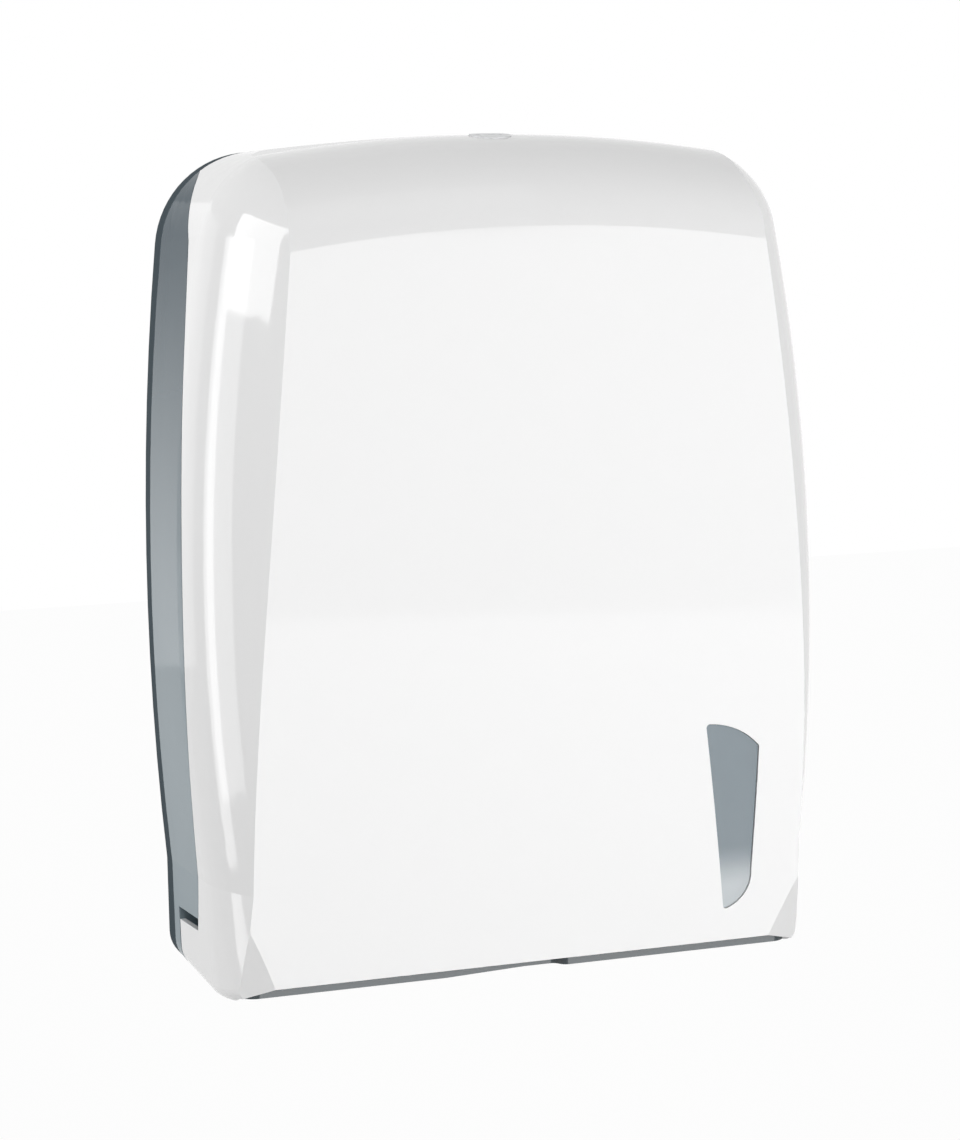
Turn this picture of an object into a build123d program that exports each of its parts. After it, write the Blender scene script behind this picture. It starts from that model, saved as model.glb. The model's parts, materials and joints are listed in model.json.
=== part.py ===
from build123d import *
from math import asin, cos, sin, sqrt
import os

os.makedirs("parts", exist_ok=True)

# Wall-mounted dispenser for folded hand towels. Millimetres.
# X runs to the right, Y into the wall and Z up. The back lies on the wall plane Y = 0,
# and the origin is the centre of the four wall-screw holes.
# "depth" is measured out of the wall, "up" from the lower edge of the front panel.

# ---------------------------------------------------------------- driving dimensions
base_z = -190.0  # lower edge of the front panel, below the wall-screw centre
height = 375.0  # crown above that edge

# front view of the housing
cover_half = 150.0  # half width where the cover begins to roll inwards
case_half = cover_half - 1.0  # half width at the wall
case_side_r = 1450.0
cover_side_r = 950.0
side_up = 162.0  # widest point
crown_r = 950.0
shoulder_r = 46.0
skirt_up = 45.0  # below this the sides run straight
case_foot_half = cover_half - 5.5
case_foot_up = -5.0
case_foot_r = 15.0
cover_foot_half = cover_half - 10.0
cover_foot_up = -8.0
cover_foot_r = 6.0

# the sides roll inwards as a quarter of an ellipse
roll_start = 60.0
roll_depth = 99.0
roll_inset = 113.5
roll_steps = 5
roll_past = 3.0  # how far past the panel the roll is drawn
foot_tuck = 0.9  # how much of the roll the foot follows
foot_rise = 0.5
foot_soften = 0.2

# front panel, seen from the side
panel_depth = 124.0
panel_r = 1070.0
panel_up = 256.0  # height of its deepest point
brow_up = height - 41.5  # the forehead starts here
brow_back = 54.0  # depth at which it has turned level
brow_r = 714.0  # crown of the forehead, across
brow_pull = 0.47
crown_pull = 0.61
crown_rise = 8.1  # behind brow_back the cutting form climbs clear of the crown

# bevel at the two lower corners of the front panel
panel_foot_half = cover_half - 30.0
bevel_up = 21.0
bevel_half = cover_half - 21.0
bevel_tip_half = cover_half - 16.0
bevel_tip_back = 4.6
bevel_tip_drop = 3.9

# walls, and the joint between case and cover
cover_wall = 2.5
case_wall = 2.5
lip_gap = 0.5
lip_wall = 1.6
lip_root = 9.0
lip_reach = 5.0
rim_gap = 0.5
rim_low = 45.0  # depth of the cover's rear edge above its ears
rim_mid = 68.0
rim_mid_up = height - 200.0
rim_bend = 48.0  # here the edge turns back towards the wall
rim_bend_up = height - 45.0
rim_swing = 32.0
rim_swing_up = height - 25.0
rim_crown = 9.0  # and here it runs over the crown
rim_crown_up = height - 13.0
notch_up = 19.0

# cover hinge
hinge_depth = 30.0
hinge_up = 5.0
hinge_pin_r = 2.5
pin_seat_fit = 0.02
pin_run_fit = 0.06
pin_end_gap = 0.2
pin_reach = cover_half - 10.5
pin_head_r = 4.0
pin_head = 1.5
ear_r = 12.5
ear_gap = 1.0
hinge_boss_r = 5.5
hinge_boss_in = 6.5
cheek_half = cover_half - 17.0
cheek_front = 52.0
side_gap = 0.8

# wall screws
screw_span_x = 200.0
screw_span_z = 240.0
wall_hole_r = 2.75
wall_pad_r = 8.0
wall_pad = 4.0
rib_xs = (-70.0, -25.0, 25.0, 70.0)
rib_wall = 2.0
rib_height = 3.0
rib_low = 24.0
rib_high = height - 50.0

# outlet tray
tray_floor = 2.5
tray_wall = 2.5
tray_back = 0.5
tray_back_half = cheek_half - 4.8
tray_half = cheek_half + 0.4
tray_front = 86.0
tray_corner_r = 8.0
tray_fit = 0.3
tray_lip = 9.0
slot_half = cheek_half - 28.0
slot_back = 26.0
slot_front = 66.0
slot_width = slot_front - slot_back
slot_r = 12.0
slot_rim = 2.0
slot_rim_height = 3.0
notch_start = -38.0  # the finger notch rises slowly from the left
notch_in = 2.0
notch_out = 17.0
notch_end = 20.0
notch_deep = 5.5
notch_r = 4.0
tray_screw_x = cheek_half - 33.0
tray_screw_depth = 8.5
cheek_screw_x = cheek_half - 8.5
cheek_screw_depth = 45.0

# towel guides
guide_half = cheek_half - 6.0
guide_wall = 2.0
guide_low = 32.0
guide_high = height - 75.0
guide_depth = 62.0
guide_corner_r = 12.0
guide_flange = 9.0
guide_screw_low = 60.0
guide_screw_high = guide_high - 30.0
guide_boss = 4.0
guide_screw_length = 6.0

# window in the front panel, seen from the front
window_left_top = (cover_half - 69.0, 106.0)
window_mid_top = (cover_half - 52.5, 102.2)
window_right_top = (cover_half - 41.8, 94.0)
window_right_low = (cover_half - 41.8, 34.0)
window_curve = (cover_half - 45.0, 21.5)
window_foot = (cover_half - 54.5, 15.5)
window_r = 1.6
lens_fit = 0.25
lens_sunk = 0.8
lens_flange = 6.0
lens_flange_wall = 1.8
stud_spots = (
    (cover_half - 72.5, 98.0),
    (cover_half - 37.0, 88.0),
    (cover_half - 37.0, 40.0),
    (cover_half - 60.0, 20.0),
)
stud_r = 1.3
stud_reach = 4.6
stud_pass = 0.15
push_nut_r = 3.2
push_nut = 0.6
push_fit = 0.05

# lock in the crown
lock_depth = 68.0
key_r = 9.5
key_proud = 0.5
key_fit = 0.2
key_skirt_r = 11.5
key_bore_r = 8.0
key_cap = 5.2  # crown to the ceiling of the key plate
prong_x = 5.5
prong_r = 1.3
key_slot_half = 2.6
key_slot = 1.2
key_drop = 10.0  # crown to the top of the lock housing
lock_half = 17.0
lock_half_depth = 12.0
lock_corner_r = 2.5
lock_wall = 2.0
lock_height = 26.5
lock_flange = 3.0
lock_flange_half = 31.0
lock_screw_x = 25.0
lock_boss_r = 4.0
lid_wall = 2.0
lug_x = 21.5
lug_half = 4.0
lug_height = 7.0
latch_fit = 0.5
latch_rest_gap = 0.3
latch_travel = 5.0
latch_tall = 17.7
latch_post_r = 2.0
latch_post_fit = 0.4
latch_post_gap = 1.0
latch_arm_half = 7.0
latch_arm = 3.0
barb_length = 6.5
barb_height = 7.0
barb_slope = 4.0
barb_bite = 3.5
barb_gap = 0.6
spring_r = 3.6
spring_wire_r = 0.4
spring_turns = 5
spring_seat = 8.0
spring_fit = 0.5
spring_peg_r = 2.4
spring_peg = 3.0

# steel catch on the back case
catch_steel = 1.5
catch_bend_r = 1.0
catch_half = 20.0
catch_leg_half = 12.0
catch_reach = 44.0
catch_height = 24.0
catch_boss = 5.5
catch_screw_x = 14.0
catch_screw_drop = 16.0
catch_drop = 8.0  # crown to the top of the catch

# self-tapping screws
screw_r = 1.45
screw_fit = 0.05
screw_pass = 0.15
screw_boss_r = 4.0
boss_cap = 2.0  # plastic past the end of a screw
screw_head_r = 3.0
screw_head = 2.0
screw_tip = 1.0
screw_end_gap = 0.6
screw_length = 8.0
cross_half = 1.8
cross_width = 0.8
cross_deep = 1.0
seat_gap = 0.1
far = 400.0
clear = 20.0  # how far a cutting form runs past what it cuts
below = -40.0  # a height under everything
root = 1.0  # how far a piece runs into the one it grows from

# heights and places that several pieces share
pocket_up = hinge_up + sqrt(ear_r**2 + (notch_up - hinge_up) ** 2) + ear_gap
pocket_depth = hinge_depth - ear_r - ear_gap
tray_top = case_foot_up + tray_floor
boss_low = tray_top + seat_gap
boss_high = boss_low + screw_length + boss_cap
lip_inset = cover_wall + lip_gap
cheek_middle = cheek_half - case_wall / 2
lens_back = cover_wall + seat_gap + lens_flange_wall
lock_top = height - key_drop
lock_low = lock_top - lock_height
lid_top = lock_low - seat_gap
key_ceiling = height - key_cap
latch_top = lock_top - lock_wall - latch_rest_gap
latch_low = latch_top - latch_tall
catch_top = height - catch_drop
catch_foot = latch_low + latch_arm + barb_height - barb_bite
barb_front = catch_reach - catch_steel - barb_gap
catch_plate_depth = case_wall + catch_boss + seat_gap
guide_plate_depth = case_wall + guide_boss + seat_gap
guide_screw_x = guide_half + guide_wall + guide_flange / 2
guide_screw_spots = [
    (side * guide_screw_x, up) for side in (-1, 1) for up in (guide_screw_low, guide_screw_high)
]
catch_screw_spots = [(x, catch_top - catch_screw_drop) for x in (-catch_screw_x, catch_screw_x)]
tray_screw_spots = [(x, tray_screw_depth) for x in (-tray_screw_x, tray_screw_x)]
cheek_screw_spots = [(x, cheek_screw_depth) for x in (-cheek_screw_x, cheek_screw_x)]
lock_screw_spots = [(x, lock_depth) for x in (-lock_screw_x, lock_screw_x)]
lug_screw_spots = [(x, lock_depth) for x in (-lug_x, lug_x)]
prong_spots = [(x, lock_depth) for x in (-prong_x, prong_x)]

# ---------------------------------------------------------------- planes of the three views
wall_plane = Plane(origin=(0, 0, base_z), x_dir=(1, 0, 0), z_dir=(0, -1, 0))  # (x, up), out of the wall
side_plane = Plane(origin=(0, 0, base_z), x_dir=(0, -1, 0), z_dir=(-1, 0, 0))  # (depth, up), to the left
floor_plane = Plane(origin=(0, 0, base_z), x_dir=(1, 0, 0), z_dir=(0, 0, -1))  # (x, depth), downwards


def at_height(up):
    """The floor plane, lifted to a height."""
    return floor_plane.offset(-up)


def upwards(x, depth, up):
    """Plane at a point, with its normal pointing up."""
    return Plane(origin=(x, -depth, base_z + up), z_dir=(0, 0, 1))


def wallwards(x, depth, up):
    """Plane at a point, with its normal pointing into the wall."""
    return Plane(origin=(x, -depth, base_z + up), x_dir=(1, 0, 0), z_dir=(0, 1, 0))


def face_depth(up, wall=0.0):
    """Depth of the front panel at a height, drawn in by a wall."""
    return panel_depth - panel_r + sqrt((panel_r - wall) ** 2 - (up - panel_up) ** 2)


def panel_plane(x, up):
    """Plane on the front panel, looking into the housing."""
    lean = (up - panel_up) / panel_r
    origin = (x, -face_depth(up), base_z + up)
    return Plane(origin=origin, x_dir=(1, 0, 0), z_dir=(0, sqrt(1 - lean**2), -lean))


# ---------------------------------------------------------------- outer form
def crossing(side_x, side_r, top_r):
    """Where a side arc meets the crown arc, in the front view."""
    dx = -side_x
    dz = height - crown_r - side_up
    span = sqrt(dx * dx + dz * dz)
    along = (side_r**2 - top_r**2 + span**2) / (2 * span)
    across = sqrt(side_r**2 - along**2)
    x = side_x + (along * dx - across * dz) / span
    return x, side_up + (along * dz + across * dx) / span


def outline(half, arc_r, inset, foot_half, foot_up, foot_r):
    """Front view of the housing, drawn in by an inset."""
    side_x = half - arc_r
    side_r = arc_r - inset
    widest = side_x + side_r
    shoulder = crossing(side_x, side_r, crown_r - inset)
    skirt = (side_x + sqrt(side_r**2 - (skirt_up - side_up) ** 2), skirt_up)
    with BuildLine() as rim:
        Line((-foot_half, foot_up), (foot_half, foot_up))
        Line((foot_half, foot_up), skirt)
        ThreePointArc(skirt, (widest, side_up), shoulder)
        ThreePointArc(shoulder, (0, height - inset), (-shoulder[0], shoulder[1]))
        ThreePointArc((-shoulder[0], shoulder[1]), (-widest, side_up), (-skirt[0], skirt[1]))
        Line((-skirt[0], skirt[1]), (-foot_half, foot_up))
    make_face(rim.line)
    fillet(vertices().sort_by(Axis.Y)[-2:], shoulder_r - inset)
    fillet(vertices().sort_by(Axis.Y)[:2], foot_r)


def rolled_body(wall, start):
    """The plan form: sides nearly square to the wall, then rolling inwards."""
    roll_end = asin((panel_depth + roll_past - roll_start) / roll_depth)
    with BuildPart() as form:
        with BuildSketch(wall_plane.offset(start)):
            foot = (case_foot_half - wall, case_foot_up + wall, case_foot_r - wall)
            outline(case_half, case_side_r, wall, *foot)
        with BuildSketch(wall_plane.offset(roll_start)):
            foot = (cover_foot_half - wall, cover_foot_up + wall, cover_foot_r - wall)
            outline(cover_half, cover_side_r, wall, *foot)
        loft(ruled=True)
        for step in range(roll_steps + 1):
            angle = roll_end * step / roll_steps
            inset = roll_inset * (1 - cos(angle))
            foot_half = cover_foot_half - foot_tuck * inset - wall
            foot_up = cover_foot_up + foot_rise * inset + wall
            foot = (foot_half, foot_up, cover_foot_r + foot_soften * inset - wall)
            with BuildSketch(wall_plane.offset(roll_start + roll_depth * sin(angle))):
                outline(cover_half, cover_side_r, inset + wall, *foot)
        loft()
    return form.part


def front_body(wall):
    """All that lies behind the front panel and its forehead, which is crowned across."""
    middle = (panel_up + below) / 2
    low_point = (face_depth(below, wall), below)
    with BuildPart() as form:
        for share in (-1, -2 / 3, -1 / 3, 0, 1 / 3, 2 / 3, 1):
            x = share * (cover_half + root)
            drop = x * x / (2 * brow_r)
            brow = brow_up - drop
            top = height - wall - drop
            lean = (brow - panel_up) / (panel_r - wall)
            pull = brow_pull * (top - brow)
            start = (face_depth(brow, wall), brow)
            handle = (start[0] - pull * lean, brow + pull * sqrt(1 - lean**2))
            level = (brow_back + crown_pull * (start[0] - brow_back), top)
            with BuildSketch(side_plane.offset(-x)):
                with BuildLine():
                    ThreePointArc(low_point, (face_depth(middle, wall), middle), start)
                    Bezier(start, handle, level, (brow_back, top))
                    Polyline((brow_back, top), (-clear, top + crown_rise), (-clear, below), low_point)
                make_face()
        loft()
    return form.part


def bevel_plane(side, wall):
    """Plane of the small bevel at a lower corner of the panel."""
    edge = Vector(side * panel_foot_half, -face_depth(0), base_z)
    top = Vector(side * bevel_half, -face_depth(bevel_up), base_z + bevel_up)
    tip = Vector(side * bevel_tip_half, bevel_tip_back - face_depth(0), base_z - bevel_tip_drop)
    normal = (edge - tip).cross(top - tip).normalized()
    if normal.Y > 0:
        normal = -normal
    return Plane(origin=tip - normal * wall, x_dir=edge - tip, z_dir=normal)


def closed_form(wall, start):
    """The whole housing as one closed body, drawn in by a wall."""
    with BuildPart() as form:
        add(rolled_body(wall, start))
        add(front_body(wall), mode=Mode.INTERSECT)
        split(bisect_by=bevel_plane(-1, wall), keep=Keep.BOTTOM)
        split(bisect_by=bevel_plane(1, wall), keep=Keep.BOTTOM)
    return form.part


def rim_line(shift):
    """The edge between case and cover, in the side view, from its low end up past the crown."""
    bend = (rim_bend + shift, rim_bend_up)
    crown = (rim_crown + shift, rim_crown_up)
    ThreePointArc((rim_low + shift, notch_up), (rim_mid + shift, rim_mid_up), bend)
    ThreePointArc(bend, (rim_swing + shift, rim_swing_up), crown)
    Polyline(crown, (rim_crown + shift, height + clear), (-clear, height + clear))


def behind_rim(shift):
    """Everything behind the edge between case and cover."""
    low = (rim_low + shift, notch_up)
    with BuildPart() as block:
        with BuildSketch(side_plane):
            with BuildLine():
                rim_line(shift)
                Polyline((-clear, height + clear), (-clear, below), (rim_low + shift, below), low)
            make_face()
        extrude(amount=far, both=True)
    return block.part


def tapping_screw(length):
    """A pan-head self-tapping screw along +Z; its head seats on Z = 0."""
    with BuildPart() as body:
        with BuildSketch(Plane.XY.offset(-screw_head)):
            Circle(screw_head_r)
        extrude(amount=screw_head)
        fillet(edges().group_by(Axis.Z)[0], screw_head / 2)
        with BuildSketch(Plane.XY):
            Circle(screw_r)
        extrude(amount=length - screw_tip)
        with BuildSketch(Plane.XY.offset(length - screw_tip)):
            Circle(screw_r)
        extrude(amount=screw_tip, taper=45)
        with BuildSketch(Plane.XY.offset(-screw_head)):
            Rectangle(2 * cross_half, cross_width)
            Rectangle(cross_width, 2 * cross_half)
        extrude(amount=cross_deep, mode=Mode.SUBTRACT)
    return body.part


envelope = closed_form(0, 0)
case_region = behind_rim(-rim_gap)
plain_screw = tapping_screw(screw_length)
short_screw = tapping_screw(guide_screw_length)

# ---------------------------------------------------------------- back case
# the wall steps in behind the cover's ears, so that they can swing
with BuildPart() as pocket_form:
    with BuildSketch(wall_plane.offset(pocket_depth - case_wall)):
        for side in (-1, 1):
            with Locations((side * (cheek_half - case_wall + clear), pocket_up + case_wall)):
                Rectangle(2 * clear, far, align=(Align.CENTER, Align.MAX))
    extrude(amount=cheek_front)
    add(envelope, mode=Mode.INTERSECT)
    add(case_region, mode=Mode.INTERSECT)

# a lip inside the rim, which the cover closes over
with BuildPart() as lip_root_form:
    add(closed_form(case_wall / 2, -root))
    add(case_region, mode=Mode.INTERSECT)

with BuildPart() as rim_lip:
    add(closed_form(lip_inset, -root))
    add(behind_rim(lip_reach), mode=Mode.INTERSECT)
    add(lip_root_form.part)
    add(closed_form(lip_inset + lip_wall, -2 * root), mode=Mode.SUBTRACT)
    add(behind_rim(-lip_root), mode=Mode.SUBTRACT)
    with BuildSketch(at_height(pocket_up + case_wall / 2)):
        Rectangle(2 * far, 2 * far)
    extrude(amount=far, mode=Mode.SUBTRACT)

with BuildPart() as back_case:
    add(envelope)
    add(closed_form(case_wall, case_wall), mode=Mode.SUBTRACT)
    add(case_region, mode=Mode.INTERSECT)
    add(rim_lip.part)
    add(pocket_form.part)
    # cheeks that carry the hinge
    with BuildSketch(wall_plane.offset(pocket_depth - case_wall)):
        for side in (-1, 1):
            with Locations((side * cheek_middle, pocket_up + case_wall)):
                Rectangle(case_wall, pocket_up + case_wall - case_foot_up, align=(Align.CENTER, Align.MAX))
    extrude(amount=cheek_front - pocket_depth + case_wall)
    with BuildSketch(wall_plane.offset(pocket_depth)):
        for side in (-1, 1):
            with Locations((side * (cheek_half + clear), pocket_up)):
                Rectangle(2 * clear, far, align=(Align.CENTER, Align.MAX))
    extrude(amount=far, mode=Mode.SUBTRACT)
    # floor left open for the outlet tray
    with BuildSketch(at_height(tray_top)):
        Rectangle(2 * (tray_back_half + tray_fit), 2 * far)
    extrude(amount=far, mode=Mode.SUBTRACT)
    # hinge bosses
    for side in (-1, 1):
        with BuildSketch(side_plane.offset(-side * cheek_middle)):
            with Locations((hinge_depth, hinge_up)):
                Circle(hinge_boss_r)
        extrude(amount=side * (hinge_boss_in + case_wall / 2))
    with BuildSketch(side_plane):
        with Locations((hinge_depth, hinge_up)):
            Circle(hinge_pin_r + pin_seat_fit)
    extrude(amount=cheek_half + root, both=True, mode=Mode.SUBTRACT)
    # pads round the wall-screw holes, and ribs between them
    with BuildSketch(Plane.XZ.offset(case_wall / 2)):
        with GridLocations(screw_span_x, screw_span_z, 2, 2):
            Circle(wall_pad_r)
    extrude(amount=wall_pad + case_wall / 2)
    with BuildSketch(wall_plane.offset(case_wall / 2)):
        for x in rib_xs:
            with Locations((x, rib_low)):
                Rectangle(rib_wall, rib_high - rib_low, align=(Align.CENTER, Align.MIN))
    extrude(amount=rib_height + case_wall / 2)
    with BuildSketch(Plane.XZ):
        with GridLocations(screw_span_x, screw_span_z, 2, 2):
            Circle(wall_hole_r)
    extrude(amount=case_wall + wall_pad, mode=Mode.SUBTRACT)
    # bosses for the towel guides and for the catch
    with BuildSketch(wall_plane.offset(case_wall / 2)):
        with Locations(*guide_screw_spots):
            Circle(screw_boss_r)
    extrude(amount=guide_boss + case_wall / 2)
    with BuildSketch(wall_plane.offset(case_wall / 2)):
        with Locations(*catch_screw_spots):
            Circle(screw_boss_r)
    extrude(amount=catch_boss + case_wall / 2)
    with BuildSketch(wall_plane.offset(case_wall / 2)):
        with Locations(*guide_screw_spots, *catch_screw_spots):
            Circle(screw_r + screw_fit)
    extrude(amount=catch_boss + case_wall, mode=Mode.SUBTRACT)
    # bosses for the tray screws, joined to the back wall and to the cheeks
    with BuildSketch(at_height(boss_high)):
        with Locations(*tray_screw_spots, *cheek_screw_spots):
            Circle(screw_boss_r)
        for x, depth in tray_screw_spots:
            with Locations((x, depth)):
                Rectangle(2 * screw_boss_r, depth - case_wall / 2, align=(Align.CENTER, Align.MAX))
        for side in (-1, 1):
            with Locations((side * (cheek_middle + cheek_screw_x) / 2, cheek_screw_depth)):
                Rectangle(cheek_middle - cheek_screw_x, 2 * screw_boss_r)
    extrude(amount=boss_high - boss_low)
    with BuildSketch(at_height(boss_low + screw_length)):
        with Locations(*tray_screw_spots, *cheek_screw_spots):
            Circle(screw_r + screw_fit)
    extrude(amount=screw_length, mode=Mode.SUBTRACT)
back_case.part.label = "back_case"
export_step(back_case.part, "parts/back_case.step")

# ---------------------------------------------------------------- outlet tray
with BuildPart() as outlet_tray:
    with BuildSketch(at_height(tray_top)) as tray_plan:
        with Locations((0, tray_back)):
            Rectangle(2 * tray_back_half, tray_front - tray_back, align=(Align.CENTER, Align.MIN))
        with Locations((0, tray_front)):
            Rectangle(2 * tray_half, tray_front - cheek_front - tray_fit, align=(Align.CENTER, Align.MAX))
        front_corners = vertices().group_by(Axis.Y)[-1].sort_by(Axis.X)
        fillet([front_corners[0], front_corners[-1]], tray_corner_r)
        with BuildLine():
            Polyline(
                (notch_start, tray_front),
                (notch_in, tray_front - notch_deep),
                (notch_out, tray_front - notch_deep),
                (notch_end, tray_front),
                close=True,
            )
        make_face(mode=Mode.SUBTRACT)
        notch_corners = vertices().filter_by_position(Axis.X, notch_start - root, notch_end + root)
        fillet(notch_corners.filter_by_position(Axis.Y, cheek_front + root, far), notch_r)
    extrude(amount=tray_floor)
    with BuildSketch(at_height(case_foot_up + tray_lip)):
        add(tray_plan.sketch_local)
        offset(amount=-tray_wall, mode=Mode.SUBTRACT)
        Rectangle(2 * far, 2 * (cheek_front + tray_fit), mode=Mode.SUBTRACT)
    extrude(amount=tray_lip)
    with BuildSketch(at_height(tray_top + slot_rim_height)):
        with Locations((0, (slot_back + slot_front) / 2)):
            RectangleRounded(2 * slot_half + 2 * slot_rim, slot_width + 2 * slot_rim, slot_r + slot_rim)
    extrude(amount=slot_rim_height + tray_floor / 2)
    with BuildSketch(at_height(tray_top + slot_rim_height)):
        with Locations((0, (slot_back + slot_front) / 2)):
            RectangleRounded(2 * slot_half, slot_width, slot_r)
    extrude(amount=far, mode=Mode.SUBTRACT)
    with BuildSketch(at_height(tray_top)):
        with Locations(*tray_screw_spots, *cheek_screw_spots):
            Circle(screw_r + screw_pass)
    extrude(amount=far, mode=Mode.SUBTRACT)
outlet_tray.part.label = "outlet_tray"
export_step(outlet_tray.part, "parts/outlet_tray.step")

with BuildPart() as tray_screws:
    with Locations(*[upwards(x, depth, case_foot_up) for x, depth in tray_screw_spots + cheek_screw_spots]):
        add(plain_screw)
tray_screws.part.label = "tray_screws"
export_step(tray_screws.part, "parts/tray_screws.step")


# ---------------------------------------------------------------- towel guides
def towel_guide(side):
    """A side wall of the towel space, with a flange that is screwed to the case."""
    inner = side * guide_half
    outer = side * (guide_half + guide_wall)
    edge = side * (guide_half + guide_wall + guide_flange)
    with BuildPart() as guide:
        with BuildSketch(at_height(guide_high)):
            with BuildLine():
                Polyline(
                    (inner, guide_plate_depth),
                    (inner, guide_depth),
                    (outer, guide_depth),
                    (outer, guide_plate_depth + guide_wall),
                    (edge, guide_plate_depth + guide_wall),
                    (edge, guide_plate_depth),
                    close=True,
                )
            make_face()
        extrude(amount=guide_high - guide_low)
        front_corners = edges().filter_by(Axis.X).group_by(Axis.Y)[0]
        fillet(front_corners, guide_corner_r)
        with BuildSketch(wall_plane.offset(guide_plate_depth)):
            with Locations((side * guide_screw_x, guide_screw_low), (side * guide_screw_x, guide_screw_high)):
                Circle(screw_r + screw_pass)
        extrude(amount=guide_wall, mode=Mode.SUBTRACT)
    return guide


towel_guide_left = towel_guide(-1)
towel_guide_left.part.label = "towel_guide_left"
export_step(towel_guide_left.part, "parts/towel_guide_left.step")

towel_guide_right = towel_guide(1)
towel_guide_right.part.label = "towel_guide_right"
export_step(towel_guide_right.part, "parts/towel_guide_right.step")

with BuildPart() as guide_screws:
    with Locations(*[wallwards(x, guide_plate_depth + guide_wall, up) for x, up in guide_screw_spots]):
        add(short_screw)
guide_screws.part.label = "guide_screws"
export_step(guide_screws.part, "parts/guide_screws.step")


# ---------------------------------------------------------------- hinge pins
def hinge_pin(side):
    """A headed pin, pushed in from inside the case."""
    head_x = cheek_half - case_wall - hinge_boss_in - seat_gap
    with BuildPart() as pin:
        with BuildSketch(side_plane.offset(-side * head_x)):
            with Locations((hinge_depth, hinge_up)):
                Circle(hinge_pin_r)
        extrude(amount=-side * (pin_reach - head_x))
        with BuildSketch(side_plane.offset(-side * head_x)):
            with Locations((hinge_depth, hinge_up)):
                Circle(pin_head_r)
        extrude(amount=side * pin_head)
        chamfer(edges().group_by(Axis.X)[0 if side < 0 else -1], hinge_pin_r / 4)
    return pin


hinge_pin_left = hinge_pin(-1)
hinge_pin_left.part.label = "hinge_pin_left"
export_step(hinge_pin_left.part, "parts/hinge_pin_left.step")

hinge_pin_right = hinge_pin(1)
hinge_pin_right.part.label = "hinge_pin_right"
export_step(hinge_pin_right.part, "parts/hinge_pin_right.step")

# ---------------------------------------------------------------- catch
with BuildPart() as catch_bracket:
    with BuildSketch(side_plane):
        with BuildLine():
            Polyline(
                (catch_plate_depth, catch_top - catch_height),
                (catch_plate_depth, catch_top),
                (catch_reach, catch_top),
                (catch_reach, catch_foot),
                (catch_reach - catch_steel, catch_foot),
                (catch_reach - catch_steel, catch_top - catch_steel),
                (catch_plate_depth + catch_steel, catch_top - catch_steel),
                (catch_plate_depth + catch_steel, catch_top - catch_height),
                close=True,
            )
        make_face()
        inner_faces = (catch_plate_depth + catch_steel, catch_reach - catch_steel)
        fillet(vertices().filter_by_position(Axis.X, *inner_faces).group_by(Axis.Y)[-1], catch_bend_r)
        fillet(vertices().group_by(Axis.Y)[-1], catch_bend_r + catch_steel)
    extrude(amount=catch_half, both=True)
    with BuildSketch(wall_plane.offset(catch_plate_depth + catch_steel + catch_bend_r)):
        for side in (-1, 1):
            with Locations((side * (catch_leg_half + clear), catch_top)):
                Rectangle(2 * clear, far)
    extrude(amount=far, mode=Mode.SUBTRACT)
    with BuildSketch(wall_plane):
        with Locations(*catch_screw_spots):
            Circle(screw_r + screw_pass)
    extrude(amount=catch_plate_depth + catch_steel, mode=Mode.SUBTRACT)
catch_bracket.part.label = "catch_bracket"
export_step(catch_bracket.part, "parts/catch_bracket.step")

with BuildPart() as catch_screws:
    with Locations(*[wallwards(x, catch_plate_depth + catch_steel, up) for x, up in catch_screw_spots]):
        add(plain_screw)
catch_screws.part.label = "catch_screws"
export_step(catch_screws.part, "parts/catch_screws.step")


# ---------------------------------------------------------------- front cover
def window_outline():
    """Front view of the window: a slanted left edge, an arched top and a curved foot."""
    with BuildLine() as rim:
        ThreePointArc(window_left_top, window_mid_top, window_right_top)
        Line(window_right_top, window_right_low)
        ThreePointArc(window_right_low, window_curve, window_foot)
        Line(window_foot, window_left_top)
    make_face(rim.line)
    fillet(vertices(), window_r)


# behind the cover: its rear edge, and the ears that reach back to the hinge
with BuildPart() as cover_back_cut:
    with BuildSketch(side_plane):
        with BuildLine():
            rim_line(0)
            Polyline((rim_low, notch_up), (hinge_depth - ear_r, notch_up), (hinge_depth - ear_r, hinge_up))
            CenterArc((hinge_depth, hinge_up), ear_r, 180, 90)
            Polyline((hinge_depth, hinge_up - ear_r), (hinge_depth, below), (-clear, below))
            Line((-clear, below), (-clear, height + clear))
        make_face()
    extrude(amount=far, both=True)

# hinge and lock bosses, trimmed to end inside the cover's skin
with BuildPart() as cover_bosses:
    for side in (-1, 1):
        with BuildSketch(side_plane.offset(-side * (cheek_half + side_gap))):
            with Locations((hinge_depth, hinge_up)):
                Circle(hinge_boss_r)
        extrude(amount=-side * clear)
    with BuildSketch(at_height(lock_top + seat_gap)):
        with Locations(*lock_screw_spots):
            Circle(lock_boss_r)
    extrude(amount=-clear)
    add(closed_form(cover_wall / 2, -root), mode=Mode.INTERSECT)

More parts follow.
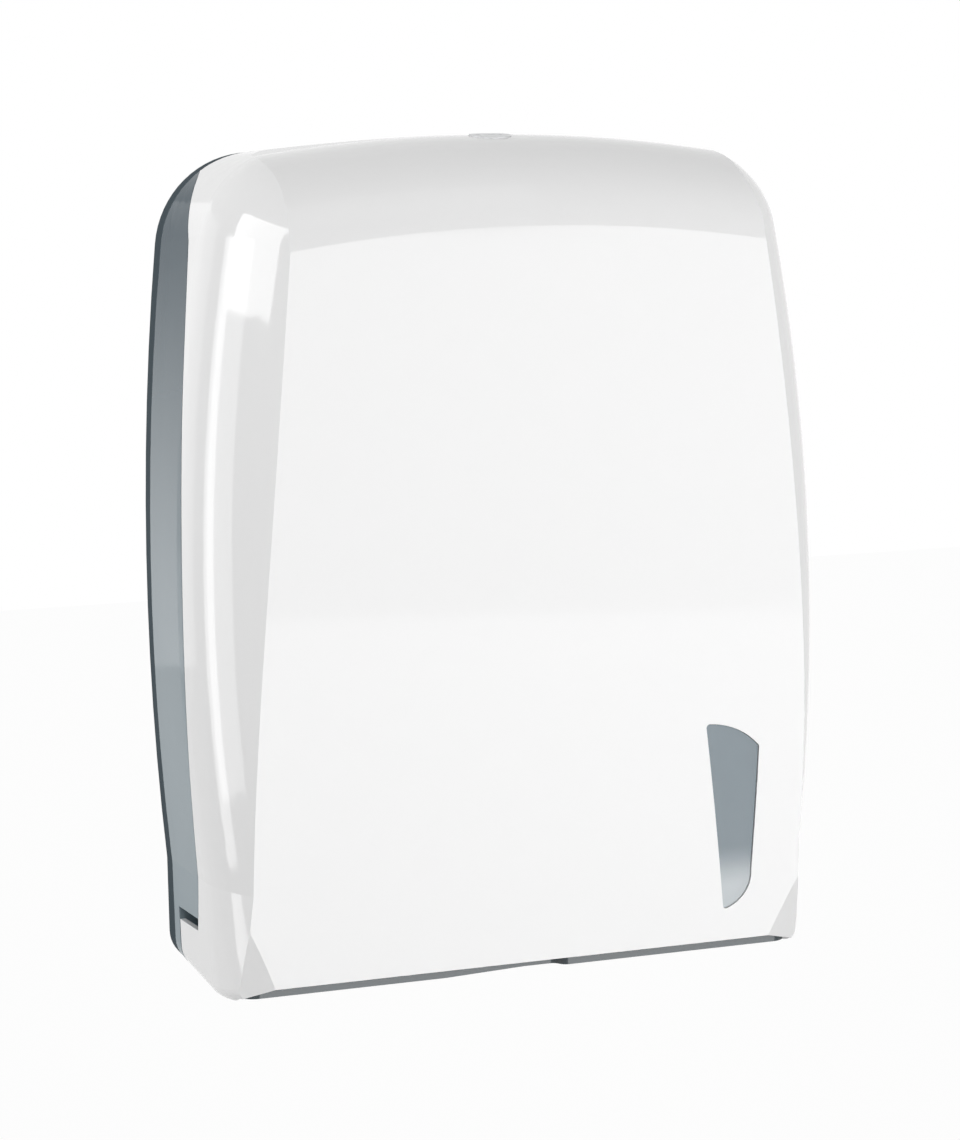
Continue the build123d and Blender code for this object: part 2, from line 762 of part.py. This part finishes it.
with BuildPart() as front_cover:
    add(envelope)
    add(closed_form(cover_wall, -root), mode=Mode.SUBTRACT)
    add(cover_back_cut.part, mode=Mode.SUBTRACT)
    # lower edge, open between the two ends of the sides
    with BuildSketch(wall_plane):
        with BuildLine():
            Polyline(
                (-bevel_tip_half - side_gap, -far),
                (-bevel_tip_half - side_gap, -bevel_tip_drop),
                (-panel_foot_half, 0),
                (panel_foot_half, 0),
                (bevel_tip_half + side_gap, -bevel_tip_drop),
                (bevel_tip_half + side_gap, -far),
                close=True,
            )
        make_face()
    extrude(amount=far, mode=Mode.SUBTRACT)
    add(cover_bosses.part)
    with BuildSketch(side_plane):
        with Locations((hinge_depth, hinge_up)):
            Circle(hinge_pin_r + pin_run_fit)
    extrude(amount=pin_reach + pin_end_gap, both=True, mode=Mode.SUBTRACT)
    with BuildSketch(at_height(lock_top - lock_flange)):
        with Locations(*lock_screw_spots):
            Circle(screw_r + screw_fit)
    extrude(amount=-screw_length - screw_end_gap, mode=Mode.SUBTRACT)
    # opening for the key plate
    with BuildSketch(at_height(lock_top)):
        with Locations((0, lock_depth)):
            Circle(key_r + key_fit)
    extrude(amount=-far, mode=Mode.SUBTRACT)
    # window and its studs
    with BuildSketch(wall_plane.offset(rim_mid)):
        window_outline()
    extrude(amount=far, mode=Mode.SUBTRACT)
    for x, up in stud_spots:
        with BuildSketch(panel_plane(x, up).offset(cover_wall / 2)):
            Circle(stud_r)
        extrude(amount=stud_reach + cover_wall / 2)
front_cover.part.label = "front_cover"
export_step(front_cover.part, "parts/front_cover.step")


# ---------------------------------------------------------------- window lens
def panel_layer(outer, inner):
    """A layer of the front panel, between two depths below its surface."""
    ups = (below, (below + panel_up) / 2, panel_up)
    front = [(face_depth(up, outer), up) for up in ups]
    back = [(face_depth(up, inner), up) for up in ups]
    with BuildPart() as layer:
        with BuildSketch(side_plane):
            with BuildLine():
                ThreePointArc(*front)
                Line(front[-1], back[-1])
                ThreePointArc(*back)
                Line(back[0], front[0])
            make_face()
        extrude(amount=-cover_half)
    return layer.part


with BuildPart() as lens_flange_form:
    with BuildSketch(wall_plane.offset(rim_mid)):
        window_outline()
        offset(amount=lens_flange, kind=Kind.ARC, mode=Mode.REPLACE)
        with Locations(*stud_spots):
            Circle(push_nut_r + side_gap)
    extrude(amount=far)
    add(panel_layer(cover_wall + seat_gap, lens_back), mode=Mode.INTERSECT)

with BuildPart() as window_lens:
    with BuildSketch(wall_plane.offset(rim_mid)):
        window_outline()
        offset(amount=-lens_fit, kind=Kind.ARC, mode=Mode.REPLACE)
    extrude(amount=far)
    add(panel_layer(lens_sunk, lens_back), mode=Mode.INTERSECT)
    add(lens_flange_form.part)
    for x, up in stud_spots:
        with BuildSketch(panel_plane(x, up).offset(cover_wall / 2)):
            Circle(stud_r + stud_pass)
        extrude(amount=stud_reach + cover_wall / 2, mode=Mode.SUBTRACT)
window_lens.part.label = "window_lens"
export_step(window_lens.part, "parts/window_lens.step")

with BuildPart() as window_push_nuts:
    for x, up in stud_spots:
        with BuildSketch(panel_plane(x, up).offset(lens_back + seat_gap)):
            Circle(push_nut_r)
            Circle(stud_r + push_fit, mode=Mode.SUBTRACT)
        extrude(amount=push_nut)
window_push_nuts.part.label = "window_push_nuts"
export_step(window_push_nuts.part, "parts/window_push_nuts.step")

# ---------------------------------------------------------------- lock
with BuildPart() as key_skirt:
    with BuildSketch(at_height(lock_top + seat_gap)):
        with Locations((0, lock_depth)):
            Circle(key_skirt_r)
    extrude(amount=-far)
    add(front_body(cover_wall + seat_gap), mode=Mode.INTERSECT)

with BuildPart() as key_plate:
    with BuildSketch(at_height(lock_top + seat_gap)):
        with Locations((0, lock_depth)):
            Circle(key_r)
    extrude(amount=-far)
    add(front_body(-key_proud), mode=Mode.INTERSECT)
    add(key_skirt.part)
    with BuildSketch(at_height(key_ceiling)):
        with Locations((0, lock_depth)):
            Circle(key_bore_r)
    extrude(amount=far, mode=Mode.SUBTRACT)
    with BuildSketch(at_height(key_ceiling)):
        with Locations(*prong_spots):
            Circle(prong_r)
        with Locations((0, lock_depth)):
            Rectangle(2 * key_slot_half, key_slot)
    extrude(amount=-far, mode=Mode.SUBTRACT)
key_plate.part.label = "key_plate"
export_step(key_plate.part, "parts/key_plate.step")

with BuildPart() as lock_housing:
    with BuildSketch(at_height(lock_top)):
        with Locations((0, lock_depth)):
            RectangleRounded(2 * lock_half, 2 * lock_half_depth, lock_corner_r)
    extrude(amount=lock_height)
    with BuildSketch(at_height(lock_top)):
        with Locations((0, lock_depth)):
            RectangleRounded(2 * lock_flange_half, 2 * lock_boss_r + 2 * root, lock_boss_r)
    extrude(amount=lock_flange)
    with BuildSketch(at_height(lock_low + lug_height)):
        with Locations((0, lock_depth)):
            RectangleRounded(2 * (lug_x + lug_half), 2 * lug_half, lug_half / 2)
    extrude(amount=lug_height)
    with BuildSketch(at_height(lock_top - lock_wall)):
        with Locations((0, lock_depth)):
            Rectangle(2 * (lock_half - lock_wall), 2 * (lock_half_depth - lock_wall))
    extrude(amount=far, mode=Mode.SUBTRACT)
    with BuildSketch(at_height(lock_top)):
        with Locations(*prong_spots):
            Circle(latch_post_r + latch_post_fit)
        with Locations(*lock_screw_spots):
            Circle(screw_r + screw_pass)
    extrude(amount=lock_flange, mode=Mode.SUBTRACT)
    with BuildSketch(at_height(lock_low + lug_height)):
        with Locations(*lug_screw_spots):
            Circle(screw_r + screw_fit)
    extrude(amount=lug_height, mode=Mode.SUBTRACT)
    # slot for the latch's arm
    with BuildSketch(at_height(latch_low + latch_arm + latch_fit)):
        with Locations((0, lock_depth - lock_half_depth)):
            Rectangle(2 * (latch_arm_half + latch_fit), 3 * lock_wall)
    extrude(amount=latch_arm + latch_travel + 2 * latch_fit, mode=Mode.SUBTRACT)
lock_housing.part.label = "lock_housing"
export_step(lock_housing.part, "parts/lock_housing.step")

with BuildPart() as housing_screws:
    with Locations(*[upwards(x, depth, lock_top - lock_flange) for x, depth in lock_screw_spots]):
        add(plain_screw)
housing_screws.part.label = "housing_screws"
export_step(housing_screws.part, "parts/housing_screws.step")

with BuildPart() as housing_lid:
    with BuildSketch(at_height(lid_top)):
        with Locations((0, lock_depth)):
            RectangleRounded(2 * lock_half, 2 * lock_half_depth, lock_corner_r)
            RectangleRounded(2 * (lug_x + lug_half), 2 * lug_half, lug_half / 2)
    extrude(amount=lid_wall)
    with BuildSketch(at_height(lid_top + spring_peg)):
        with Locations((0, lock_depth)):
            Circle(spring_peg_r)
    extrude(amount=spring_peg + lid_wall / 2)
    with BuildSketch(at_height(lock_low)):
        with Locations(*lug_screw_spots):
            Circle(screw_r + screw_pass)
    extrude(amount=far, mode=Mode.SUBTRACT)
housing_lid.part.label = "housing_lid"
export_step(housing_lid.part, "parts/housing_lid.step")

with BuildPart() as lid_screws:
    with Locations(*[upwards(x, depth, lid_top - lid_wall) for x, depth in lug_screw_spots]):
        add(plain_screw)
lid_screws.part.label = "lid_screws"
export_step(lid_screws.part, "parts/lid_screws.step")

latch_half = lock_half - lock_wall - latch_fit
latch_half_depth = lock_half_depth - lock_wall - latch_fit
latch_back = lock_depth - latch_half_depth
with BuildPart() as latch_bolt:
    with BuildSketch(at_height(latch_top)):
        with Locations((0, lock_depth)):
            Rectangle(2 * latch_half, 2 * latch_half_depth)
    extrude(amount=latch_tall)
    with BuildSketch(at_height(key_ceiling - latch_post_gap)):
        with Locations(*prong_spots):
            Circle(latch_post_r)
    extrude(amount=key_ceiling - latch_post_gap - latch_top + root)
    # arm and barb; the barb's back slopes, so that the cover can be pushed shut
    with BuildSketch(side_plane):
        with BuildLine():
            Polyline(
                (latch_back + root, latch_low),
                (latch_back + root, latch_low + latch_arm),
                (barb_front, latch_low + latch_arm),
                (barb_front, latch_low + latch_arm + barb_height),
                (barb_front - barb_length + barb_slope, latch_low + latch_arm + barb_height),
                (barb_front - barb_length, latch_low + latch_arm),
                (barb_front - barb_length, latch_low),
                close=True,
            )
        make_face()
    extrude(amount=latch_arm_half, both=True)
    with BuildSketch(at_height(latch_low + spring_seat)):
        with Locations((0, lock_depth)):
            Circle(spring_r + spring_wire_r + spring_fit)
    extrude(amount=far, mode=Mode.SUBTRACT)
latch_bolt.part.label = "latch_bolt"
export_step(latch_bolt.part, "parts/latch_bolt.step")

spring_low = lid_top + spring_wire_r + seat_gap
spring_high = latch_low + spring_seat - spring_wire_r - seat_gap
with BuildPart() as latch_spring:
    with BuildLine(upwards(0, lock_depth, spring_low)) as coil:
        Helix((spring_high - spring_low) / spring_turns, spring_high - spring_low, spring_r)
    with BuildSketch(Plane(origin=coil.line @ 0, z_dir=coil.line % 0)):
        Circle(spring_wire_r)
    sweep(path=coil.line, is_frenet=True)
latch_spring.part.label = "latch_spring"
export_step(latch_spring.part, "parts/latch_spring.step")
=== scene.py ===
"""Wall-mounted dispenser for folded hand towels: looks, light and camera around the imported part.

Metres. X runs to the right, Y into the wall and Z up, and the back of the case lies on Y = 0.
"""
import json
import math

import bpy
from mathutils import Matrix, Vector

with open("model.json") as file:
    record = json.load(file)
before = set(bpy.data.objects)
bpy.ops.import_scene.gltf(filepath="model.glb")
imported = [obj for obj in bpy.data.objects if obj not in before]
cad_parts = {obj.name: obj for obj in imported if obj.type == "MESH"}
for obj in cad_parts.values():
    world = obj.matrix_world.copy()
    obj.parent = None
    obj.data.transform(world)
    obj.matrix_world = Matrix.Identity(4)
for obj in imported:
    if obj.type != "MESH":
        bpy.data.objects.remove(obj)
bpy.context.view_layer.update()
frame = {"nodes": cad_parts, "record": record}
NODES = frame["nodes"]

# ---------------------------------------------------------------- what every finish is made of
CLOUD_SCALE = 60.0
CLOUD_DETAIL = 3.0
GRAIN_SCALE = 900.0
GRAIN_DETAIL = 2.0
GRAIN_DEPTH = 0.0004
SMOOTHEST = 0.02
DULL = 0.8


def add_node(tree, kind, values=None, **options):
    """A new node, with its options set first and then the values of its named inputs."""
    node = tree.nodes.new(kind)
    for name, option in options.items():
        setattr(node, name, option)
    for name, value in (values or {}).items():
        node.inputs[name].default_value = value
    return node


def material(name, base, roughness, tint=0.02, rough_spread=0.04, bump=0.02, metallic=0.0, alpha=1.0,
             gloss_level=0.5):
    """A procedural finish: faint cloudy colour, fine grain and uneven gloss over one base colour."""
    mat = bpy.data.materials.new(name)
    mat.use_nodes = True
    tree = mat.node_tree
    shader = tree.nodes["Principled BSDF"]
    shader.inputs["Metallic"].default_value = metallic
    shader.inputs["Specular IOR Level"].default_value = gloss_level
    shader.inputs["Alpha"].default_value = alpha
    place = add_node(tree, "ShaderNodeTexCoord").outputs["Object"]

    cloud = add_node(tree, "ShaderNodeTexNoise", {"Scale": CLOUD_SCALE, "Detail": CLOUD_DETAIL})
    tree.links.new(place, cloud.inputs["Vector"])
    darker = (*[max(0.0, channel - tint) for channel in base], 1.0)
    lighter = (*[min(1.0, channel + tint) for channel in base], 1.0)
    colour = add_node(tree, "ShaderNodeMix", {"A": darker, "B": lighter}, data_type="RGBA")
    tree.links.new(cloud.outputs["Fac"], colour.inputs["Factor"])
    tree.links.new(colour.outputs["Result"], shader.inputs["Base Color"])

    glossiest = max(SMOOTHEST, roughness - rough_spread)
    gloss = add_node(tree, "ShaderNodeMapRange", {"To Min": glossiest, "To Max": roughness + rough_spread})
    tree.links.new(cloud.outputs["Fac"], gloss.inputs["Value"])
    tree.links.new(gloss.outputs["Result"], shader.inputs["Roughness"])

    grain = add_node(tree, "ShaderNodeTexNoise", {"Scale": GRAIN_SCALE, "Detail": GRAIN_DETAIL})
    tree.links.new(place, grain.inputs["Vector"])
    relief = add_node(tree, "ShaderNodeBump", {"Strength": bump, "Distance": GRAIN_DEPTH})
    tree.links.new(grain.outputs["Fac"], relief.inputs["Height"])
    tree.links.new(relief.outputs["Normal"], shader.inputs["Normal"])
    return mat


def along(mat, axis, low, high, at_low=0.0, at_high=1.0):
    """A factor that runs from one value to another between two places along an axis of the object."""
    tree = mat.node_tree
    split = add_node(tree, "ShaderNodeSeparateXYZ")
    tree.links.new(add_node(tree, "ShaderNodeTexCoord").outputs["Object"], split.inputs["Vector"])
    ends = {"From Min": low, "From Max": high, "To Min": at_low, "To Max": at_high}
    ramp = add_node(tree, "ShaderNodeMapRange", ends, interpolation_type="SMOOTHSTEP")
    tree.links.new(split.outputs[axis], ramp.inputs["Value"])
    return ramp.outputs["Result"]


def tone_over(mat, tone, factor):
    """Lays a second colour over the colour of a finish, by a factor."""
    tree = mat.node_tree
    base = tree.nodes["Principled BSDF"].inputs["Base Color"]
    over = add_node(tree, "ShaderNodeMix", {"B": (*tone, 1.0)}, data_type="RGBA")
    tree.links.new(base.links[0].from_socket, over.inputs["A"])
    tree.links.new(factor, over.inputs["Factor"])
    tree.links.new(over.outputs["Result"], base)


def dense_and_dull(mat, factor):
    """Closes a see-through finish and takes its gloss away, by a factor."""
    tree = mat.node_tree
    shader = tree.nodes["Principled BSDF"]
    see_through = shader.inputs["Alpha"]
    dense = add_node(tree, "ShaderNodeMapRange", {"To Min": see_through.default_value})
    tree.links.new(factor, dense.inputs["Value"])
    tree.links.new(dense.outputs["Result"], see_through)
    rough = shader.inputs["Roughness"]
    dull = add_node(tree, "ShaderNodeMix", {"B": DULL})
    tree.links.new(rough.links[0].from_socket, dull.inputs["A"])
    tree.links.new(factor, dull.inputs["Factor"])
    tree.links.new(dull.outputs["Result"], rough)


# ---------------------------------------------------------------- the finishes
CASE_SHADE_FROM_UP = -0.12
CASE_SHADE_FULL_UP = 0.17
SHADED_RIM_FRONT = -0.0095
SHADED_RIM_FULL = -0.0085
LENS_PAINTED_LIGHT_FULL_UP = -0.165
LENS_PAINTED_LIGHT_END_UP = -0.142


def white_cover():
    """High-gloss white of the cover."""
    return material("white_shell", base=(0.885, 0.885, 0.885), roughness=0.05, tint=0.004,
                    rough_spread=0.015, bump=0.004)


def smoky_case():
    """Smoky plastic of the case, with painted shade: darker towards the crown, and a dense, dull, darker
    rim at the wall.
    """
    mat = material("smoke_shell", base=(0.33, 0.405, 0.445), roughness=0.07, tint=0.008,
                   rough_spread=0.02, bump=0.004, alpha=0.85, gloss_level=0.12)
    # Painted shade: the case is darkened towards the crown.
    tone_over(mat, (0.012, 0.05, 0.078), along(mat, "Z", CASE_SHADE_FROM_UP, CASE_SHADE_FULL_UP))
    # Painted shade: the rim at the wall, where the tinted wall is seen edge-on, is darkened; it is also
    # made dense and dull.
    shaded_wall_rim = along(mat, "Y", SHADED_RIM_FRONT, SHADED_RIM_FULL)
    tone_over(mat, (0.048, 0.066, 0.078), shaded_wall_rim)
    dense_and_dull(mat, shaded_wall_rim)
    return mat


def smoky_lens():
    """Smoky plastic of the window, with painted light that makes it pale at its foot."""
    mat = material("smoke_lens", base=(0.16, 0.22, 0.26), roughness=0.06, tint=0.01,
                   rough_spread=0.02, bump=0.004, alpha=0.8)
    # Painted light: the window is painted pale at its foot.
    tone_over(mat, (0.6, 0.65, 0.68), along(mat, "Z", LENS_PAINTED_LIGHT_FULL_UP, LENS_PAINTED_LIGHT_END_UP, at_low=1.0, at_high=0.0))
    return mat


def shaded_smoky_tray():
    """Smoky plastic of the outlet tray, made darker as painted shade."""
    # Painted shade: a darker copy of the smoky plastic stands in for the shade the tray sits in below the
    # cover.
    return material("smoke_tray_shaded", base=(0.045, 0.065, 0.075), roughness=0.12, tint=0.004, bump=0.006,
                    alpha=0.9)


def grey_plastic():
    """Satin grey plastic of the lock housing and its lid."""
    return material("grey_plastic", base=(0.33, 0.35, 0.37), roughness=0.4, bump=0.1)


def white_plastic():
    """Satin white plastic of the towel guides and the key plate."""
    return material("white_plastic", base=(0.82, 0.83, 0.84), roughness=0.35, bump=0.06)


def zinc_steel():
    """Zinc-plated steel of the screws, pins, catch, push nuts and spring."""
    return material("steel", base=(0.58, 0.59, 0.6), roughness=0.3, rough_spread=0.08, bump=0.05,
                    metallic=1.0)


def black_plastic():
    """Satin black plastic of the latch bolt."""
    return material("black_plastic", base=(0.03, 0.03, 0.033), roughness=0.38, tint=0.005, bump=0.06)


finishes = {
    "white_shell": white_cover(),
    "smoke_shell": smoky_case(),
    "grey_plastic": grey_plastic(),
    "white_plastic": white_plastic(),
    "steel": zinc_steel(),
    "black_plastic": black_plastic(),
}
for part in frame["record"]["subparts"]:
    mesh = NODES[part["node"]].data
    mesh.materials.clear()
    mesh.materials.append(finishes[part["material_slot"]])
NODES["outlet_tray"].data.materials[0] = shaded_smoky_tray()
NODES["window_lens"].data.materials[0] = smoky_lens()

# ---------------------------------------------------------------- floor and background
FLOOR_SIZE = 24.0
FLOOR_UP = -1.5
FLOOR_TONE = 0.7
FLOOR_GLOW = 0.97
SKY_SIDE = 0.23
SKY_TOP = 0.4
WHITE = 1.0


def seen_directly(tree, share):
    """A factor that is `share` for rays from the camera, mirrors and glass, and 0 for lighting rays."""
    ray = add_node(tree, "ShaderNodeLightPath")
    any_of = ray.outputs["Is Camera Ray"]
    for kind in ("Is Glossy Ray", "Is Transmission Ray"):
        either = add_node(tree, "ShaderNodeMath", operation="MAXIMUM")
        tree.links.new(any_of, either.inputs[0])
        tree.links.new(ray.outputs[kind], either.inputs[1])
        any_of = either.outputs[0]
    scaled = add_node(tree, "ShaderNodeMath", operation="MULTIPLY")
    scaled.inputs[1].default_value = share
    tree.links.new(any_of, scaled.inputs[0])
    return scaled.outputs[0]


def glowing(mat, share):
    """Mixes plain white into a finish, by a share, where it is seen directly; lighting rays skip it."""
    tree = mat.node_tree
    glow = add_node(tree, "ShaderNodeEmission", {"Strength": WHITE})
    both = add_node(tree, "ShaderNodeMixShader")
    tree.links.new(seen_directly(tree, share), both.inputs["Fac"])
    tree.links.new(tree.nodes["Principled BSDF"].outputs["BSDF"], both.inputs[1])
    tree.links.new(glow.outputs["Emission"], both.inputs[2])
    tree.links.new(both.outputs["Shader"], tree.nodes["Material Output"].inputs["Surface"])


bpy.ops.mesh.primitive_plane_add(size=FLOOR_SIZE, location=(0.0, 0.0, FLOOR_UP))
floor = bpy.context.object
floor.name = "floor"
floor_white = material("floor_white", (FLOOR_TONE, FLOOR_TONE, FLOOR_TONE), roughness=0.8, tint=0.004)
glowing(floor_white, FLOOR_GLOW)
floor.data.materials.append(floor_white)

world = bpy.data.worlds.new("studio")
bpy.context.scene.world = world
world.use_nodes = True
sky = world.node_tree
upward = add_node(sky, "ShaderNodeSeparateXYZ")
sky.links.new(add_node(sky, "ShaderNodeTexCoord").outputs["Generated"], upward.inputs["Vector"])
overhead = add_node(sky, "ShaderNodeMapRange", {"To Min": SKY_SIDE, "To Max": SKY_TOP})
sky.links.new(upward.outputs["Z"], overhead.inputs["Value"])
level = add_node(sky, "ShaderNodeMix", {"B": WHITE})
sky.links.new(seen_directly(sky, 1.0), level.inputs["Factor"])
sky.links.new(overhead.outputs["Result"], level.inputs["A"])
sky.links.new(level.outputs["Result"], sky.nodes["Background"].inputs["Strength"])
sky.nodes["Background"].inputs["Color"].default_value = (1.0, 1.0, 1.0, 1.0)

# ---------------------------------------------------------------- lamps
DEPTH_MIDDLE = -0.06


def softbox(name, place, aim_up, width, height, power, lights=True, mirrored=True):
    """An area lamp that faces the middle of the cabinet's depth at a height.

    It can also be a fill that no gloss shows, or a reflection that lights nothing.
    """
    lamp = bpy.data.lights.new(name, "AREA")
    lamp.shape = "RECTANGLE"
    lamp.size = width
    lamp.size_y = height
    lamp.energy = power
    lamp_object = bpy.data.objects.new(name, lamp)
    bpy.context.scene.collection.objects.link(lamp_object)
    lamp_object.visible_diffuse = lights
    lamp_object.visible_glossy = mirrored
    lamp_object.location = place
    facing = Vector((0.0, DEPTH_MIDDLE, aim_up)) - Vector(place)
    lamp_object.rotation_euler = facing.to_track_quat("-Z", "Y").to_euler()


softbox("front", (0.56, -1.42, -0.07), aim_up=-0.07, width=1.1, height=0.76, power=8.4)
softbox("front_low", (0.56, -1.42, -0.95), aim_up=-0.95, width=1.1, height=1.0, power=14.0, lights=False)
softbox("fill", (-0.35, -2.2, 0.85), aim_up=0.0, width=1.2, height=1.0, power=12.2, mirrored=False)
softbox("high_left", (-1.86, 0.3, 0.8), aim_up=0.1, width=1.2, height=0.85, power=14.0)
softbox("rear_left", (-2.07, 0.75, 0.0), aim_up=0.0, width=0.8, height=1.4, power=6.1)
softbox("rear", (-1.1, 1.9, 0.2), aim_up=0.0, width=1.2, height=1.2, power=2.0)
softbox("edge_strip", (-1.93, 1.05, -0.1), aim_up=-0.1, width=0.36, height=1.5, power=3.6, lights=False)
softbox("top", (0.0, -1.0, 2.0), aim_up=0.0, width=1.6, height=1.2, power=2.2)

# ---------------------------------------------------------------- camera
AZIMUTH = math.radians(-19.7)
ELEVATION = math.radians(6.44)
ROLL = math.radians(-1.47)
LOOK_AT = Vector((0.0, -0.07, 0.01))
DISTANCE = 1.41119
SENSOR = 36.0
# The next four are in pixels of the 960 by 1140 frame, whose height takes the whole sensor.
FRAME_HEIGHT = 1140.0
FOCAL_LENGTH = 3098.24
SHIFT_ACROSS = 20.82
SHIFT_DOWN = -48.94

back = Vector((math.sin(AZIMUTH) * math.cos(ELEVATION),
               -math.cos(AZIMUTH) * math.cos(ELEVATION), math.sin(ELEVATION)))
level_right = Vector((math.cos(AZIMUTH), math.sin(AZIMUTH), 0.0))
level_up = back.cross(level_right)
right = math.cos(ROLL) * level_right + math.sin(ROLL) * level_up
up = math.cos(ROLL) * level_up - math.sin(ROLL) * level_right
camera_data = bpy.data.cameras.new("camera")
camera_data.sensor_width = SENSOR
camera_data.lens = FOCAL_LENGTH * SENSOR / FRAME_HEIGHT
camera = bpy.data.objects.new("camera", camera_data)
bpy.context.scene.collection.objects.link(camera)
camera.matrix_world = Matrix((
    (right.x, up.x, back.x, 0.0),
    (right.y, up.y, back.y, 0.0),
    (right.z, up.z, back.z, 0.0),
    (0.0, 0.0, 0.0, 1.0),
))
metres_per_pixel = DISTANCE / FOCAL_LENGTH
camera.location = (LOOK_AT + back * DISTANCE - right * (SHIFT_ACROSS * metres_per_pixel)
                   + up * (SHIFT_DOWN * metres_per_pixel))
bpy.context.scene.camera = camera
bpy.context.scene.view_settings.view_transform = "Standard"
